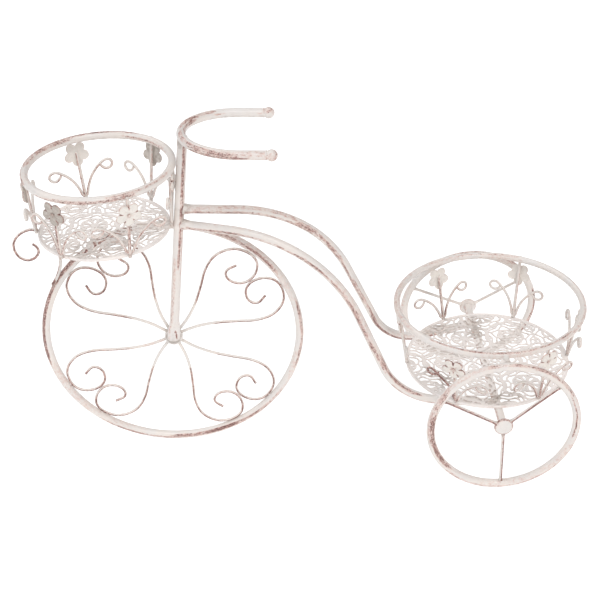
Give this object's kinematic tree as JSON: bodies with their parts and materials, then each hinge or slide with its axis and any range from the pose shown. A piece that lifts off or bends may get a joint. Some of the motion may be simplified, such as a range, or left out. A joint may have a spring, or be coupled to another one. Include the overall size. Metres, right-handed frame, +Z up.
{
  "type": "bicycle planter",
  "caption": "Tricycle-shaped metal planter with a large front wheel, small rear wheels and round open baskets that each hold a flower pot.",
  "frame": {"origin": "on the ground, at the middle of the object's bounding box", "axes": "+X from the large front wheel towards the small rear wheels, +Y towards the far rear wheel, +Z up"},
  "size_m": [0.8362, 0.3444, 0.5398],
  "materials": {
    "tube_paint": "semi-matt antique cream paint, rubbed through to pinkish brown in streaks",
    "wire_paint": "semi-matt antique cream paint, browner along the edges",
    "plate_paint": "semi-matt antique cream paint on pierced sheet, dark in the corners of the piercing",
    "flower_paint": "semi-matt antique cream paint on pressed sheet, brown along the petal edges"
  },
  "bodies": {
    "root": {"steering_post": "tube_paint", "handlebar": "tube_paint", "handlebar_ball_near": "tube_paint", "handlebar_ball_far": "tube_paint", "frame_tube_near": "tube_paint", "frame_tube_far": "tube_paint", "front_hoop": "tube_paint", "front_hub": "tube_paint", "scroll_spoke_upper_rear_a": "wire_paint", "scroll_spoke_upper_rear_b": "wire_paint", "scroll_spoke_lower_rear_a": "wire_paint", "scroll_spoke_lower_rear_b": "wire_paint", "scroll_spoke_lower_front_a": "wire_paint", "scroll_spoke_lower_front_b": "wire_paint", "scroll_spoke_upper_front_a": "wire_paint", "scroll_spoke_upper_front_b": "wire_paint", "front_rim": "tube_paint", "front_plate": "plate_paint", "front_strut": "wire_paint", "front_curl": "wire_paint", "front_stem_back_left": "wire_paint", "front_stem_back_right": "wire_paint", "front_stem_right": "wire_paint", "front_stem_front_right": "wire_paint", "front_stem_front_left": "wire_paint", "front_stem_left": "wire_paint", "front_flower_back_left": "flower_paint", "front_flower_back_right": "flower_paint", "front_flower_right": "flower_paint", "front_flower_front_right": "flower_paint", "front_flower_front_left": "flower_paint", "front_flower_left": "flower_paint", "rear_rim": "tube_paint", "rear_plate": "plate_paint", "rear_stem_back_left": "wire_paint", "rear_stem_back_right": "wire_paint", "rear_stem_right": "wire_paint", "rear_stem_front_right": "wire_paint", "rear_stem_front_left": "wire_paint", "rear_stem_left": "wire_paint", "rear_flower_back_left": "flower_paint", "rear_flower_back_right": "flower_paint", "rear_flower_right": "flower_paint", "rear_flower_front_right": "flower_paint", "rear_flower_front_left": "flower_paint", "rear_flower_left": "flower_paint", "rear_hoop_near": "tube_paint", "rear_hoop_far": "tube_paint", "rear_hub_near": "tube_paint", "rear_hub_far": "tube_paint", "rear_spoke_near_1": "wire_paint", "rear_spoke_near_2": "wire_paint", "rear_spoke_near_3": "wire_paint", "rear_spoke_far_1": "wire_paint", "rear_spoke_far_2": "wire_paint", "rear_spoke_far_3": "wire_paint", "rear_axle": "tube_paint", "rim_tab_near": "wire_paint"}
  },
  "joints": []
}
